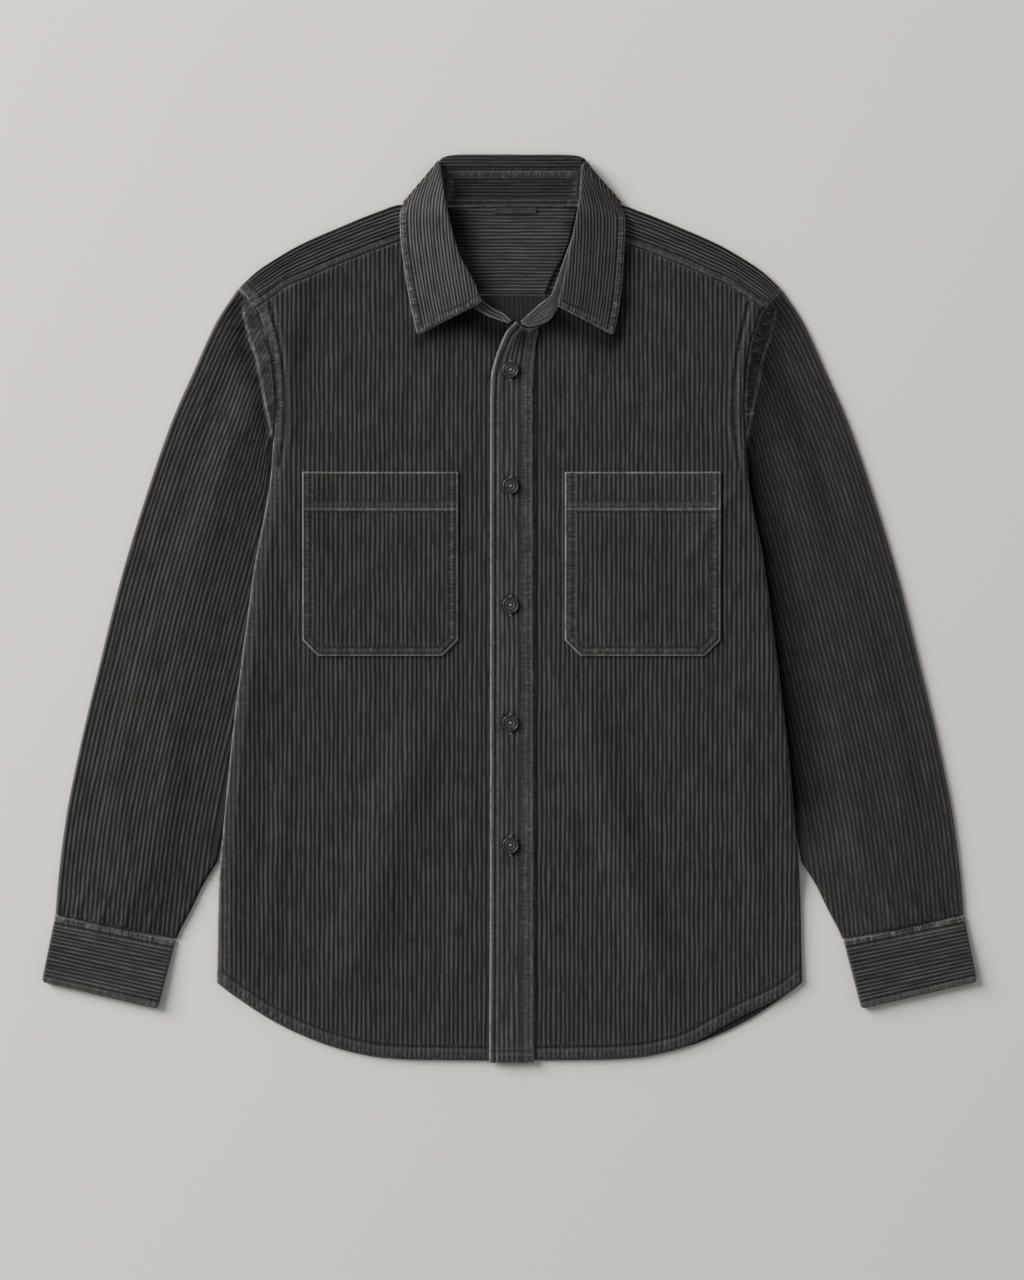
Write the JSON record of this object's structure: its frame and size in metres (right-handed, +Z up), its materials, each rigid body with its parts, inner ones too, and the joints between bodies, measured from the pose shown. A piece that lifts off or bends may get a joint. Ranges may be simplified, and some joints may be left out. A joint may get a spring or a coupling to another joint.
{
  "type": "shacket",
  "caption": "Button-front corduroy overshirt laid flat, with a pointed collar, two patch pockets, long cuffed sleeves and a curved hem.",
  "frame": {"origin": "on the surface the garment lies on, under the middle of its box", "axes": "+X toward the wearer's left sleeve, which is on the picture's right; +Y from hem to collar; +Z up off the surface, from the back of the garment to its front"},
  "size_m": [0.8292, 0.8052, 0.0118],
  "materials": {
    "charcoal_corduroy": "matte",
    "dark_button": "satin"
  },
  "bodies": {
    "root": {"back_body": "charcoal_corduroy", "yoke": "charcoal_corduroy", "yoke_facing": "charcoal_corduroy", "front_right": "charcoal_corduroy", "front_left": "charcoal_corduroy", "placket": "charcoal_corduroy", "collar_stand": "charcoal_corduroy", "collar_fall": "charcoal_corduroy", "hanger_loop": "charcoal_corduroy", "sleeve_right": "charcoal_corduroy", "sleeve_left": "charcoal_corduroy", "cuff_right": "charcoal_corduroy", "cuff_left": "charcoal_corduroy", "pocket_right": "charcoal_corduroy", "pocket_left": "charcoal_corduroy", "button_1": "dark_button", "button_2": "dark_button", "button_3": "dark_button", "button_4": "dark_button", "button_5": "dark_button"}
  },
  "joints": []
}
